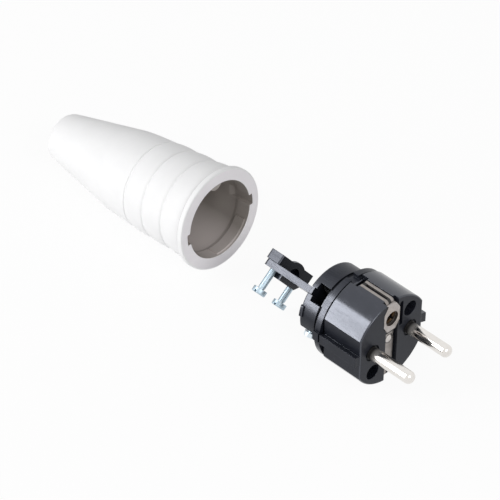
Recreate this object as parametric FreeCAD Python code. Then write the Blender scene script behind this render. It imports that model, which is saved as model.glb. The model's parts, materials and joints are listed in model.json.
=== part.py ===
import FreeCAD, Part
import math
import os
from FreeCAD import Vector

# Two-pin earthed plug that is wired by hand, opened: a black contact insert and its rubber sleeve.
# Millimetres. The origin is on the insert's front face, midway between the two pins.
# +X is the way the pins point, +Y runs from the first pin to the second, +Z is the earth socket side.
# The insert lies on its side groove and the sleeve lies behind it, on the same surface.

# Pins and their terminals
PIN_R = 2.4
PIN_OUT = 19.0
PIN_SPACING = 19.0
PIN_TIP_ROUND = 2.0
PIN_ROOT_R = 2.55
PIN_SHOULDER_R = 3.7
PIN_SHOULDER_LEN = 2.2
PIN_TAIL_R = 1.9
PIN_TAIL_IN_TERMINAL = 3.4
TERMINAL_R = 3.0
TERMINAL_LEN = 7.2
WIRE_HOLE_R = 1.5
WIRE_HOLE_DEPTH = 3.2
TERMINAL_SCREW_R = 1.5
TERMINAL_SCREW_HEAD_R = 2.5
TERMINAL_SCREW_HEAD_H = 1.7
TERMINAL_SCREW_REACH = 7.9
TERMINAL_SCREW_BITE = 1.9
TERMINAL_SCREW_BACK = 2.2
PIN_SCREW_ANGLE = 149.6

# Front contact body
BODY_RIM = 4.85
BODY_LEN = 17.5
FLAT_DEPTH = 2.25
FACE_ROUND = 0.6
RIB_RISE = 0.15
RIB_ROOT_BELOW = 2.2
RIB_ROOT_HIGH = 1.9
RIB_TIP_BELOW = 1.4
RIB_TIP_HIGH = 2.8
RIB_SET_BACK = 0.3
SEAM_CHAMFER = 0.15
PIN_DISH_R = 3.3
PIN_DISH_DEPTH = 0.7
SIDE_SLOT_Y = 4.6
SIDE_SLOT_WIDTH = 1.5
SIDE_SLOT_BELOW = 5.6
SIDE_SLOT_ABOVE = 5.2
SIDE_SLOT_FLOOR = 8.5

# Body screws, sunk in two deep holes of the face
BODY_SCREW_IN_Y = 8.95
BODY_SCREW_IN_Z = 8.75
BODY_SCREW_WELL_R = 3.05
BODY_SCREW_SEAT_T = 5.0
BODY_SCREW_R = 1.5
BODY_SCREW_HEAD_R = 2.75
BODY_SCREW_HEAD_H = 2.0
BODY_SCREW_STOP = 0.7

# Earthing parts
EARTH_IN = 8.05
STRIP_T = 0.8
STRIP_SINK = 0.45
STRIP_WIDTH = 3.8
STRIP_SLOT = 1.3
STRIP_SHORT = 3.3
STRIP_SLOT_MARGIN = 1.4
STRIP_FACE_WIDTH = 4.6
STRIP_FACE_DEPTH = 1.25
STRIP_BEND_R = 1.6
STRIP_BEND_RELIEF = 0.6
STRIP_SWELL_R = 3.9
STRIP_EYE_R = 2.9
GROOVE_SIDE_GAP = 0.15
GROOVE_POCKET_HALF = 3.0
GROOVE_SHORT = 0.9
GROOVE_POCKET_DEPTH = 2.6
FACE_CHANNEL_HALF = 3.0
PLATE_HALF = 3.95
PLATE_BELOW = 5.4
PLATE_ABOVE = 6.4
PLATE_CORNER_Y = 2.0
PLATE_CORNER_Z = 3.1
PLATE_BELOW_FACE = 0.15
PLATE_SEAT_GAP = 0.25
PLATE_HOLE_R = 3.0
SOCKET_OUT_R = 3.15
SOCKET_IN_R = 2.5
SOCKET_SLIT = 0.8
SOCKET_SLIT_LEN = 11.0
SOCKET_SLIT_ANGLE = 45.0
SOCKET_FOOT = 1.6
SOCKET_TAIL_R = 1.8
EARTH_SCREW_ANGLE = 90.0
EARTH_SCREW_REACH = 5.0
EARTH_SCREW_HEAD_R = 2.1
RIVET_HEAD_R = 1.7
RIVET_HEAD_H = 0.55
RIVET_R = 1.0
RIVET_LEN = 6.0

# Rear housing: collar, groove, wiring chamber and clamp arm
COLLAR_STEP = 0.45
COLLAR_LEN = 3.0
COLLAR_GROOVE_HALF = 1.7
COLLAR_GROOVE_DEPTH = 1.6
NECK_STEP = 3.4
NECK_LEN = 2.6
SEAM_WIDTH = 0.6
SEAM_DEPTH = 1.0
CHAMBER_STEP = 2.6
CHAMBER_LEN = 7.2
CHAMBER_WALL = 1.8
CHAMBER_FLOOR_T = 0.8
WINDOW_FROM_ANGLE = 27.0
WINDOW_TO_ANGLE = 55.5
WINDOW_STEP_ANGLE = 36.8
WINDOW_STEP_TO_ANGLE = 48.0
WINDOW_LEN = 4.7
TERMINAL_GATE_WIDTH = 5.9
TERMINAL_GATE_FRONT = 0.4
LUG_RISE = 0.8
LUG_LEN = 1.5
LUG_ROUND = 0.5
LUG_SPAN_ANGLE = 17.0
LUG_AT_ANGLE = 75.0
CLAMP_ANGLE = 38.5
ARM_OFF_AXIS = 0.1
ARM_T = 2.5
ARM_EDGE_IN = 2.8
ARM_LOW_EDGE_IN = 4.6
ARM_REAR = 53.8
ARM_NOSE = 1.2
BEAM_LEN = 5.8
BEAM_T = 2.0
BEAM_END_IN = 6.0
BEAM_LOW_END_IN = 2.4
BEAM_SLANT = 2.2
ARM_WAIST_DEPTH = 3.2
ARM_WAIST_LEN = 10.5
WEB_T = 1.2
WEB_NEAR = 5.5
WEB_FAR = 4.0
WEB_LOW = 3.7

# Cord clamp
STRAP_WIDTH = 6.4
STRAP_HALF = 12.3
STRAP_T = 3.75
STRAP_GAP = 0.05
STRAP_ARCH_HALF = 4.4
STRAP_ARCH_RISE = 1.0
STRAP_ARCH_LEN = 1.2
STRAP_CORD_HALF = 3.8
STRAP_CORD_RISE = 2.4
STRAP_CORNER = 0.8
CLAMP_SCREW_SPACING = 16.2
CLAMP_SCREW_R = 1.35
CLAMP_SCREW_LEN = 14.45
CLAMP_HEAD_R = 2.7
CLAMP_HEAD_H = 2.1
CLAMP_HOLE_GAP = 0.35
NUT_FLATS = 5.0
NUT_T = 1.8
NUT_SINK = 0.25
SLOT_WIDTH = 0.8
SLOT_DEPTH = 1.0

# Rubber sleeve, measured from its mouth
SLEEVE_LEN = 85.0
SLEEVE_END_DROP = 10.85
SLEEVE_END_ROUND = 3.0
FLANGE_OVER = 2.35
FLANGE_T = 2.5
FLANGE_FRONT_ROUND = 1.2
FLANGE_BACK_ROUND = 0.5
BAND_DROPS = ((FLANGE_T, 1.55), (13.4, 2.2), (23.6, 2.45), (33.4, 2.8))
BAND_SWELL = 0.4
RING_DEPTH = 0.35
RING_HALF = 0.35
BACK_DROPS = ((40.0, 3.1), (47.0, 3.7))
CONE_AT = 54.0
CONE_DROP = 4.95
LIP_GAP = 0.6
LIP_ROUND = 0.2
LIP_LEN = 6.2
UNDERCUT_GAP = 0.2
UNDERCUT_LEN = 3.2
BORE_STEP = 0.2
BORE_STRAIGHT_TO = 36.0
BORE_TAIL_R = 7.2
BORE_TAIL_AT = 76.0
INLET_R = 5.0
NOTCH_WIDTH = 4.6
NOTCH_GAP = 1.1
PAD_RISE = 0.5
PAD_FRONT = 1.0
PAD_LEN = 4.6
PAD_FROM_ANGLE = 172.0
PAD_TO_ANGLE = 239.0
KEY_RISE = 2.2
KEY_FRONT = 0.7
KEY_LEN = 2.2
KEY_SPAN_ANGLE = 21.0

# Where the sleeve lies: the middle of its mouth, behind the face and to the side
SLEEVE_BEHIND = 86.8
SLEEVE_MOUTH_Y = 0.9
SLEEVE_YAW_ANGLE = 1.7

# Clearances
SEAT_GAP = 0.05
HOLE_GAP = 0.1
SCREW_TIP = 0.3
PAST = 1.0

# Worked out from the sizes above
PIN_Y = PIN_SPACING / 2
BODY_R = PIN_Y + PIN_SHOULDER_R + BODY_RIM
BODY_FLAT = BODY_R - FLAT_DEPTH
RIB_REACH = BODY_R + RIB_RISE
BODY_SCREW_Y = BODY_R - BODY_SCREW_IN_Y
BODY_SCREW_Z = BODY_R - BODY_SCREW_IN_Z
BODY_SCREW_WELL_DEPTH = BODY_LEN - BODY_SCREW_SEAT_T
EARTH_Z = BODY_R - EARTH_IN
PLATE_LOW = EARTH_Z - PLATE_BELOW
PLATE_HIGH = EARTH_Z + PLATE_ABOVE
STRIP_OUT = BODY_R - STRIP_SINK
STRIP_REAR = BODY_LEN - STRIP_SHORT
GROOVE_REAR = BODY_LEN - GROOVE_SHORT
GROOVE_HALF = STRIP_WIDTH / 2 + GROOVE_SIDE_GAP
COLLAR_R = BODY_R - COLLAR_STEP
NECK_R = COLLAR_R - NECK_STEP
CHAMBER_R = COLLAR_R - CHAMBER_STEP
LUG_R = CHAMBER_R + LUG_RISE
ARM_HIGH = CHAMBER_R - ARM_EDGE_IN
ARM_LOW = ARM_LOW_EDGE_IN - CHAMBER_R
BEAM_HIGH = ARM_HIGH - BEAM_END_IN
BEAM_LOW = ARM_LOW + BEAM_LOW_END_IN
ARM_WAIST_LOW = ARM_LOW + ARM_WAIST_DEPTH
COLLAR_FRONT = BODY_LEN + SEAM_WIDTH
COLLAR_REAR = BODY_LEN + COLLAR_LEN
NECK_REAR = COLLAR_REAR + NECK_LEN
CHAMBER_REAR = NECK_REAR + CHAMBER_LEN
CHAMBER_IN_R = CHAMBER_R - CHAMBER_WALL
CHAMBER_FLOOR = COLLAR_REAR + CHAMBER_FLOOR_T
WEB_FRONT = CHAMBER_REAR - WEB_T
STRIP_IN = STRIP_OUT - STRIP_T
FLOOR_Z = -math.sqrt(BODY_R**2 - GROOVE_HALF**2)
TERMINAL_FRONT = CHAMBER_FLOOR + SEAT_GAP
PIN_TAIL_END = TERMINAL_FRONT + PIN_TAIL_IN_TERMINAL
STRAP_FRONT = ARM_REAR - BEAM_LEN
SCREW_X = -(STRAP_FRONT + STRAP_WIDTH / 2)
STRAP_NEAR = -ARM_OFF_AXIS - STRAP_GAP
STRAP_FAR = STRAP_NEAR - STRAP_T
CLAMP_HEAD_AT = STRAP_FAR + CLAMP_SCREW_LEN
BODY_SCREW_END = COLLAR_REAR - BODY_SCREW_STOP
FLANGE_R = BODY_R + FLANGE_OVER
BAND_ENDS = [(a, FLANGE_R - drop) for a, drop in BAND_DROPS]
BACK_CURVE = [(a, FLANGE_R - drop) for a, drop in BACK_DROPS]
CONE_R = FLANGE_R - CONE_DROP
SLEEVE_END_R = FLANGE_R - SLEEVE_END_DROP
LIP_R = CHAMBER_R + LIP_GAP
UNDERCUT_R = LUG_R + UNDERCUT_GAP
NOTCH_R = UNDERCUT_R + NOTCH_GAP
BORE_R = LIP_R - BORE_STEP


def rod(x_front, x_rear, r, y=0.0, z=0.0):
    """Cylinder along X between two depths behind the face."""
    return Part.makeCylinder(r, x_rear - x_front, Vector(-x_rear, y, z), Vector(1, 0, 0))


def block(x_front, x_rear, y0, y1, z0, z1):
    """Box between two depths behind the face."""
    return Part.makeBox(x_rear - x_front, y1 - y0, z1 - z0, Vector(-x_rear, y0, z0))


def prism(points, x_front, x_rear):
    """Outline of (y, z) corners, carried along X."""
    corners = [Vector(-x_rear, y, z) for y, z in points]
    face = Part.Face(Part.makePolygon(corners + corners[:1]))
    return face.extrude(Vector(x_rear - x_front, 0, 0))


def turned(shape, degrees):
    """Shape turned round the insert's axis, from +Z towards -Y."""
    copy = shape.copy()
    copy.rotate(Vector(0, 0, 0), Vector(1, 0, 0), degrees)
    return copy


def opposite(shape):
    """The same shape half a turn round the insert's axis."""
    return turned(shape, 180.0)


def sector(r_in, r_out, x_front, x_rear, from_angle, to_angle):
    """Part of a ring round X; angles run from +Z towards -Y."""
    ring = Part.makeCylinder(r_out, x_rear - x_front, Vector(0, 0, 0), Vector(1, 0, 0), to_angle - from_angle)
    if r_in > 0:
        ring = ring.cut(Part.makeCylinder(r_in, x_rear - x_front, Vector(0, 0, 0), Vector(1, 0, 0)))
    middle = ring.Solids[0].CenterOfMass
    now = math.degrees(math.atan2(-middle.y, middle.z))
    ring.rotate(Vector(0, 0, 0), Vector(1, 0, 0), (from_angle + to_angle) / 2 - now)
    ring.translate(Vector(-x_rear, 0, 0))
    return ring


def in_clamp_frame(shape):
    """Shapes of the clamp are drawn with their width along Z and their screws along -Y, then turned."""
    return turned(shape, CLAMP_ANGLE)


def slotted_screw(length, r, head_r, head_h):
    """Cheese-head screw along +Z: the head's seat is at z = 0 and the shank goes to -length."""
    shank = Part.makeCylinder(r, length, Vector(0, 0, -length))
    tip = [e for e in shank.Edges if abs(e.CenterOfMass.z + length) < 0.01 and e.Closed]
    shank = shank.makeChamfer(SCREW_TIP, tip)
    head = Part.makeCylinder(head_r, head_h)
    crown = [e for e in head.Edges if abs(e.CenterOfMass.z - head_h) < 0.01 and e.Closed]
    head = head.makeFillet(head_h / 5, crown)
    slot = Part.makeBox(3 * head_r, SLOT_WIDTH, SLOT_DEPTH,
                        Vector(-1.5 * head_r, -SLOT_WIDTH / 2, head_h - SLOT_DEPTH))
    return shank.fuse(head).cut(slot)


def aimed(screw, axis_point, degrees):
    """A screw stood with its head outwards at an angle from +Z towards -Y, seat at the point."""
    placed = screw.copy()
    placed.rotate(Vector(0, 0, 0), Vector(1, 0, 0), degrees)
    placed.translate(axis_point)
    return placed


def body_blank():
    """Round bar with two flats, its front edge rounded and its rear edge chamfered."""
    bar = rod(0, BODY_LEN, BODY_R)
    bar = bar.common(block(0, BODY_LEN, -BODY_FLAT, BODY_FLAT, -BODY_R, BODY_R))
    front = [e for e in bar.Edges if abs(e.CenterOfMass.x) < 0.01]
    bar = bar.makeFillet(FACE_ROUND, front)
    rear = [e for e in bar.Edges if abs(e.CenterOfMass.x + BODY_LEN) < 0.01]
    return bar.makeChamfer(SEAM_CHAMFER, rear)


def guide_rib(x_front, x_rear, reach):
    """Slanting key on the first pin's flat."""
    inside = BODY_FLAT - FACE_ROUND
    outline = [(-inside, -RIB_ROOT_BELOW), (-inside, RIB_ROOT_HIGH), (-BODY_FLAT, RIB_ROOT_HIGH),
               (-reach, RIB_TIP_HIGH), (-reach, -RIB_TIP_BELOW), (-BODY_FLAT, -RIB_ROOT_BELOW)]
    return prism(outline, x_front, x_rear)


def earth_channel():
    """Side grooves, face channel and plate seat that the earthing strip lies in."""
    top = block(0, GROOVE_REAR, -GROOVE_HALF, GROOVE_HALF, STRIP_IN - SEAT_GAP, BODY_R + PAST)
    wide = GROOVE_POCKET_HALF
    pocket = block(STRIP_REAR, GROOVE_REAR, -wide, wide, STRIP_IN - GROOVE_POCKET_DEPTH, BODY_R + PAST)
    gap = block(STRIP_FACE_DEPTH, STRIP_REAR, -STRIP_SLOT / 2, STRIP_SLOT / 2,
                STRIP_IN - GROOVE_POCKET_DEPTH, BODY_R)
    tail = block(GROOVE_REAR, BODY_LEN, -wide, wide, COLLAR_R - COLLAR_GROOVE_DEPTH, BODY_R + PAST)
    depth = STRIP_FACE_DEPTH + STRIP_T + SEAT_GAP
    low = STRIP_IN - SEAT_GAP
    corner = Part.makePolygon([Vector(PAST - depth, -GROOVE_HALF, low - STRIP_BEND_RELIEF - PAST),
                               Vector(PAST - depth, -GROOVE_HALF, low + PAST),
                               Vector(-depth - STRIP_BEND_RELIEF - PAST, -GROOVE_HALF, low + PAST),
                               Vector(PAST - depth, -GROOVE_HALF, low - STRIP_BEND_RELIEF - PAST)])
    relief = Part.Face(corner).extrude(Vector(0, 2 * GROOVE_HALF, 0))
    cut = top.fuse([pocket, gap, tail, relief])
    cut = cut.fuse(opposite(cut))
    face = block(-PAST, depth, -FACE_CHANNEL_HALF, FACE_CHANNEL_HALF, -BODY_R - PAST, BODY_R + PAST)
    seat = prism(plate_outline(PLATE_SEAT_GAP), -PAST, STRIP_FACE_DEPTH + SEAT_GAP)
    swell = rod(-PAST, depth, STRIP_SWELL_R + SEAT_GAP, 0, EARTH_Z)
    near = SIDE_SLOT_Y - SIDE_SLOT_WIDTH / 2
    slot = block(-PAST, BODY_LEN - SIDE_SLOT_FLOOR, near, near + SIDE_SLOT_WIDTH,
                 EARTH_Z - SIDE_SLOT_BELOW, EARTH_Z + SIDE_SLOT_ABOVE)
    return cut.fuse([face, seat, swell, slot])


def plate_outline(grow):
    """Long octagon of the socket plate, as (y, z) corners."""
    half = PLATE_HALF + grow
    low = PLATE_LOW - grow
    high = PLATE_HIGH + grow
    return [(-PLATE_CORNER_Y, low), (PLATE_CORNER_Y, low), (half, low + PLATE_CORNER_Z),
            (half, high - PLATE_CORNER_Z), (PLATE_CORNER_Y, high), (-PLATE_CORNER_Y, high),
            (-half, high - PLATE_CORNER_Z), (-half, low + PLATE_CORNER_Z)]


def contact_body():
    body = body_blank()
    rib = guide_rib(RIB_SET_BACK, BODY_LEN - SEAM_CHAMFER, RIB_REACH)
    body = body.fuse([rib, opposite(rib)])
    cuts = [earth_channel()]
    pin = rod(-PAST, BODY_LEN + PAST, PIN_ROOT_R + SEAT_GAP, -PIN_Y)
    dish = rod(-PAST, PIN_DISH_DEPTH, PIN_DISH_R, -PIN_Y)
    seat = rod(BODY_LEN - PIN_SHOULDER_LEN - SEAT_GAP, BODY_LEN + PAST, PIN_SHOULDER_R + SEAT_GAP, -PIN_Y)
    well = rod(-PAST, BODY_SCREW_WELL_DEPTH, BODY_SCREW_WELL_R, -BODY_SCREW_Y, -BODY_SCREW_Z)
    shank = rod(0, BODY_LEN + PAST, BODY_SCREW_R + HOLE_GAP, -BODY_SCREW_Y, -BODY_SCREW_Z)
    for cut in (pin, dish, seat, well, shank):
        cuts += [cut, opposite(cut)]
    socket = rod(0, BODY_LEN + PAST, SOCKET_OUT_R + HOLE_GAP, 0, EARTH_Z)
    rivet = rod(0, STRIP_FACE_DEPTH + RIVET_LEN + SEAT_GAP, RIVET_R + SEAT_GAP)
    cuts += [socket, rivet]
    return body.cut(cuts).removeSplitter()


def chamber_openings():
    """Stepped window over the earth screw and two gates over the pins' terminal screws."""
    rear = NECK_REAR + WINDOW_LEN
    out = CHAMBER_R + PAST
    window = sector(CHAMBER_IN_R - PAST, out, NECK_REAR, rear, WINDOW_FROM_ANGLE, WINDOW_TO_ANGLE)
    notch = sector(CHAMBER_IN_R - PAST, out, rear - WINDOW_LEN / 2, CHAMBER_REAR + PAST,
                   WINDOW_STEP_ANGLE, WINDOW_STEP_TO_ANGLE)
    half = TERMINAL_GATE_WIDTH / 2
    gate = block(NECK_REAR + TERMINAL_GATE_FRONT, CHAMBER_REAR + PAST, -half, half, 0, out)
    gate = turned(gate, PIN_SCREW_ANGLE)
    gate.translate(Vector(0, -PIN_Y, 0))
    return [window, notch, gate, opposite(gate)]


def clamp_arm():
    """Flat arm from the chamber's floor, with a web behind the window, a beam and two plain screw holes."""
    near = ARM_OFF_AXIS - ARM_T
    arm = block(CHAMBER_FLOOR, CHAMBER_REAR, near, ARM_OFF_AXIS, ARM_LOW, WEB_LOW)
    web = block(WEB_FRONT, CHAMBER_REAR, -WEB_NEAR, WEB_FAR, WEB_LOW, CHAMBER_R)
    web = web.common(rod(WEB_FRONT, CHAMBER_REAR, CHAMBER_IN_R + CHAMBER_WALL / 2))
    reach = block(WEB_FRONT, ARM_REAR, near, ARM_OFF_AXIS, ARM_LOW, ARM_HIGH)
    nose = [e for e in reach.Edges if abs(e.CenterOfMass.x + ARM_REAR) < 0.01
            and abs(e.CenterOfMass.y - (near + ARM_OFF_AXIS) / 2) < 0.01]
    reach = reach.makeFillet(ARM_NOSE, nose)
    waist = block(STRAP_FRONT - ARM_WAIST_LEN, STRAP_FRONT, near - PAST, PAST, ARM_LOW - PAST, ARM_WAIST_LOW)
    soften = [e for e in waist.Edges if abs(e.CenterOfMass.z - ARM_WAIST_LOW) < 0.01
              and abs(e.Length - (2 * PAST - near)) < 0.01]
    waist = waist.makeFillet(ARM_NOSE, soften)
    low = near - BEAM_T
    corners = [(near, BEAM_LOW), (low, BEAM_LOW + BEAM_SLANT), (low, BEAM_HIGH), (near, BEAM_HIGH)]
    beam = prism(corners, STRAP_FRONT, ARM_REAR - ARM_NOSE)
    arm = arm.fuse([reach, beam, web]).cut(waist)
    for side in (-1, 1):
        hole = Part.makeCylinder(CLAMP_SCREW_R + CLAMP_HOLE_GAP, ARM_T + BEAM_T + 2 * PAST,
                                 Vector(SCREW_X, low - PAST, side * CLAMP_SCREW_SPACING / 2), Vector(0, 1, 0))
        arm = arm.cut(hole)
    return in_clamp_frame(arm)


def rear_housing():
    """Collar, neck, wiring chamber and clamp arm, moulded in one piece."""
    collar = rod(COLLAR_FRONT, COLLAR_REAR, COLLAR_R)
    seam_flat = BODY_FLAT - SEAM_DEPTH
    seam = rod(BODY_LEN, COLLAR_FRONT, COLLAR_R - SEAM_DEPTH)
    seam = seam.common(block(BODY_LEN, COLLAR_FRONT, -seam_flat, seam_flat, -BODY_R, BODY_R))
    key = guide_rib(COLLAR_FRONT, COLLAR_REAR, RIB_REACH)
    slot = block(BODY_LEN - PAST, COLLAR_REAR + PAST, -COLLAR_GROOVE_HALF, COLLAR_GROOVE_HALF,
                 COLLAR_R - COLLAR_GROOVE_DEPTH, BODY_R)
    collar = collar.fuse([seam, key, opposite(key)]).cut([slot, opposite(slot)])
    neck = rod(COLLAR_REAR, NECK_REAR, NECK_R)
    wall = rod(NECK_REAR, CHAMBER_REAR, CHAMBER_R)
    rim = [e for e in wall.Edges if abs(e.CenterOfMass.x + CHAMBER_REAR) < 0.01]
    wall = wall.makeFillet(FACE_ROUND, rim)
    lug = sector(CHAMBER_R - PAST, LUG_R, CHAMBER_REAR - LUG_LEN, CHAMBER_REAR,
                 LUG_AT_ANGLE - LUG_SPAN_ANGLE / 2, LUG_AT_ANGLE + LUG_SPAN_ANGLE / 2)
    crown = [e for e in lug.Edges if math.hypot(e.CenterOfMass.y, e.CenterOfMass.z) > LUG_R - LUG_RISE / 4]
    lug = lug.makeFillet(LUG_ROUND, crown)
    shell = neck.fuse([wall, lug, opposite(lug)])
    shell = shell.cut([rod(CHAMBER_FLOOR, CHAMBER_REAR + PAST, CHAMBER_IN_R)] + chamber_openings())
    housing = collar.fuse([shell, clamp_arm()])
    tail = rod(BODY_LEN - PAST, CHAMBER_FLOOR + PAST, PIN_TAIL_R + HOLE_GAP, -PIN_Y)
    screw = rod(BODY_LEN - PAST, BODY_SCREW_END + HOLE_GAP, BODY_SCREW_R + SEAT_GAP,
                -BODY_SCREW_Y, -BODY_SCREW_Z)
    socket = rod(BODY_LEN - PAST, CHAMBER_FLOOR + PAST, SOCKET_TAIL_R + HOLE_GAP, 0, EARTH_Z)
    return housing.cut([tail, opposite(tail), screw, opposite(screw), socket]).removeSplitter()


def contact_pin(side):
    """Turned pin: rounded tip, thicker root, rear shoulder and a thinner tail for its terminal."""
    out = Part.makeCylinder(PIN_R, PIN_OUT, Vector(0, 0, 0), Vector(1, 0, 0))
    tip = [e for e in out.Edges if abs(e.CenterOfMass.x - PIN_OUT) < 0.01 and e.Closed]
    out = out.makeFillet(PIN_TIP_ROUND, tip)
    pin = out.fuse([rod(0, BODY_LEN - SEAT_GAP, PIN_ROOT_R),
                    rod(BODY_LEN - PIN_SHOULDER_LEN, BODY_LEN - SEAT_GAP, PIN_SHOULDER_R),
                    rod(BODY_LEN - PIN_SHOULDER_LEN, PIN_TAIL_END, PIN_TAIL_R)])
    pin.translate(Vector(0, side * PIN_Y, 0))
    return pin.removeSplitter()


def terminal(y, z, tail_r, turn):
    """Round brass terminal on a tail: a wire hole in its rear end and a thread across it."""
    post = rod(TERMINAL_FRONT, TERMINAL_FRONT + TERMINAL_LEN, TERMINAL_R, y, z)
    tail = rod(TERMINAL_FRONT - PAST, PIN_TAIL_END + SEAT_GAP, tail_r + SEAT_GAP, y, z)
    end = TERMINAL_FRONT + TERMINAL_LEN
    wire = rod(end - WIRE_HOLE_DEPTH, end + PAST, WIRE_HOLE_R, y, z)
    thread = Part.makeCylinder(TERMINAL_SCREW_R + SEAT_GAP, TERMINAL_R + PAST)
    return post.cut([tail, wire, aimed(thread, Vector(-end + TERMINAL_SCREW_BACK, y, z), turn)])


def terminal_screw(y, z, turn, reach, head_r):
    """Slotted screw that bites on the wire in a terminal."""
    seat = reach - TERMINAL_SCREW_HEAD_H
    screw = slotted_screw(seat - TERMINAL_SCREW_BITE, TERMINAL_SCREW_R, head_r, TERMINAL_SCREW_HEAD_H)
    screw.translate(Vector(0, 0, seat))
    end = TERMINAL_FRONT + TERMINAL_LEN
    return aimed(screw, Vector(-end + TERMINAL_SCREW_BACK, y, z), turn)


def earth_strip():
    """One nickelled strip: down the face and back along both side grooves, slotted along its sides."""
    front = STRIP_FACE_DEPTH
    outer = block(front, STRIP_REAR, -STRIP_FACE_WIDTH / 2, STRIP_FACE_WIDTH / 2, -STRIP_OUT, STRIP_OUT)
    corners = [e for e in outer.Edges if abs(e.CenterOfMass.x + front) < 0.01
               and abs(e.CenterOfMass.y) < 0.01]
    outer = outer.makeFillet(STRIP_BEND_R, corners)
    inner = block(front + STRIP_T, STRIP_REAR + PAST, -STRIP_FACE_WIDTH, STRIP_FACE_WIDTH, -STRIP_IN, STRIP_IN)
    bends = [e for e in inner.Edges if abs(e.CenterOfMass.x + front + STRIP_T) < 0.01
             and abs(e.CenterOfMass.y) < 0.01]
    inner = inner.makeFillet(STRIP_BEND_R - STRIP_T, bends)
    strip = outer.cut(inner)
    for near in (-STRIP_FACE_WIDTH, STRIP_WIDTH / 2):
        far = near + STRIP_FACE_WIDTH - STRIP_WIDTH / 2
        edge = block(0, STRIP_REAR + PAST, near, far, STRIP_OUT - STRIP_BEND_R, BODY_R)
        strip = strip.cut([edge, opposite(edge)])
    slit = block(front + STRIP_SLOT_MARGIN, STRIP_REAR - STRIP_SLOT_MARGIN, -STRIP_SLOT / 2, STRIP_SLOT / 2,
                 STRIP_IN - PAST, STRIP_OUT + PAST)
    swell = rod(front, front + STRIP_T, STRIP_SWELL_R, 0, EARTH_Z)
    eye = rod(0, front + STRIP_T + PAST, STRIP_EYE_R, 0, EARTH_Z)
    hole = rod(0, front + STRIP_T + PAST, RIVET_R + SEAT_GAP)
    return strip.fuse(swell).cut([slit, opposite(slit), eye, hole]).removeSplitter()


def socket_plate():
    """Long octagonal plate that frames the earth socket's mouth, riveted over the strip."""
    plate = prism(plate_outline(0), PLATE_BELOW_FACE, STRIP_FACE_DEPTH - SEAT_GAP)
    return plate.cut(rod(-PAST, STRIP_FACE_DEPTH + PAST, PLATE_HOLE_R, 0, EARTH_Z))


def earth_socket():
    """Slit spring tube for the socket outlet's earth pin, with a closed foot and a tail for its terminal."""
    front = STRIP_FACE_DEPTH + STRIP_T + SEAT_GAP
    rear = BODY_LEN - SEAT_GAP
    tube = rod(front, rear, SOCKET_OUT_R, 0, EARTH_Z)
    tube = tube.cut(rod(front - PAST, rear - SOCKET_FOOT, SOCKET_IN_R, 0, EARTH_Z))
    half = SOCKET_SLIT / 2
    out = SOCKET_OUT_R + PAST
    slit = turned(block(front - PAST, front + SOCKET_SLIT_LEN, -half, half, -out, out), SOCKET_SLIT_ANGLE)
    slit.translate(Vector(0, 0, EARTH_Z))
    tail = rod(rear - SOCKET_FOOT, PIN_TAIL_END, SOCKET_TAIL_R, 0, EARTH_Z)
    return tube.cut(slit).fuse(tail).removeSplitter()


def strip_rivet():
    """Round-head rivet that holds the strip in the middle of the face."""
    shank = rod(STRIP_FACE_DEPTH - SEAT_GAP, STRIP_FACE_DEPTH + RIVET_LEN, RIVET_R)
    ball_r = (RIVET_HEAD_R**2 + RIVET_HEAD_H**2) / (2 * RIVET_HEAD_H)
    ball = Part.makeSphere(ball_r, Vector(-(STRIP_FACE_DEPTH - SEAT_GAP) - ball_r + RIVET_HEAD_H, 0, 0))
    cap = ball.common(rod(-PAST, STRIP_FACE_DEPTH - SEAT_GAP, 2 * RIVET_HEAD_R))
    return shank.fuse(cap)


def body_screws():
    """The two sunk screws that hold the body on the rear housing."""
    length = BODY_SCREW_END - BODY_SCREW_WELL_DEPTH
    screw = slotted_screw(length, BODY_SCREW_R, BODY_SCREW_HEAD_R, BODY_SCREW_HEAD_H)
    screw.rotate(Vector(0, 0, 0), Vector(0, 1, 0), 90)
    screw.translate(Vector(-BODY_SCREW_WELL_DEPTH + SEAT_GAP, -BODY_SCREW_Y, -BODY_SCREW_Z))
    return Part.makeCompound([screw, opposite(screw)])


def bow(base, half, rise, length):
    """Solid under an arc that stands on y = base, carried along X."""
    left = Vector(0, base, -half)
    right = Vector(0, base, half)
    arc = Part.Arc(left, Vector(0, base + rise, 0), right).toShape()
    return Part.Face(Part.Wire([arc, Part.makeLine(right, left)])).extrude(Vector(length, 0, 0))


def clamp_strap():
    """Moulded strap: a bar with a low arch at its front, a hollow for the cord and pockets for the nuts."""
    near = -STRAP_NEAR
    far = -STRAP_FAR
    bar = Part.makeBox(STRAP_WIDTH, STRAP_T, 2 * STRAP_HALF, Vector(0, near, -STRAP_HALF))
    posts = [e for e in bar.Edges if abs(abs(e.CenterOfMass.z) - STRAP_HALF) < 0.01
             and abs(e.Length - STRAP_T) < 0.01]
    bar = bar.makeFillet(STRAP_CORNER, posts)
    bar.translate(Vector(-STRAP_FRONT - STRAP_WIDTH, 0, 0))
    arch = bow(far, STRAP_ARCH_HALF, STRAP_ARCH_RISE, STRAP_ARCH_LEN)
    arch.translate(Vector(-STRAP_FRONT - STRAP_ARCH_LEN, 0, 0))
    hollow = bow(near, STRAP_CORD_HALF, STRAP_CORD_RISE, STRAP_WIDTH + 2 * PAST)
    hollow.translate(Vector(-STRAP_FRONT - STRAP_WIDTH - PAST, 0, 0))
    bar = bar.fuse(arch).cut(hollow)
    for side in (-1, 1):
        z = side * CLAMP_SCREW_SPACING / 2
        hole = Part.makeCylinder(CLAMP_SCREW_R + SEAT_GAP, STRAP_T + 2 * PAST,
                                 Vector(SCREW_X, near - PAST, z), Vector(0, 1, 0))
        half = NUT_FLATS / 2 + SEAT_GAP
        pocket = Part.makeBox(2 * half, NUT_T + NUT_SINK + PAST, 2 * half,
                              Vector(SCREW_X - half, far - NUT_T - NUT_SINK, z - half))
        bar = bar.cut([hole, pocket])
    return in_clamp_frame(bar)


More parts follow.
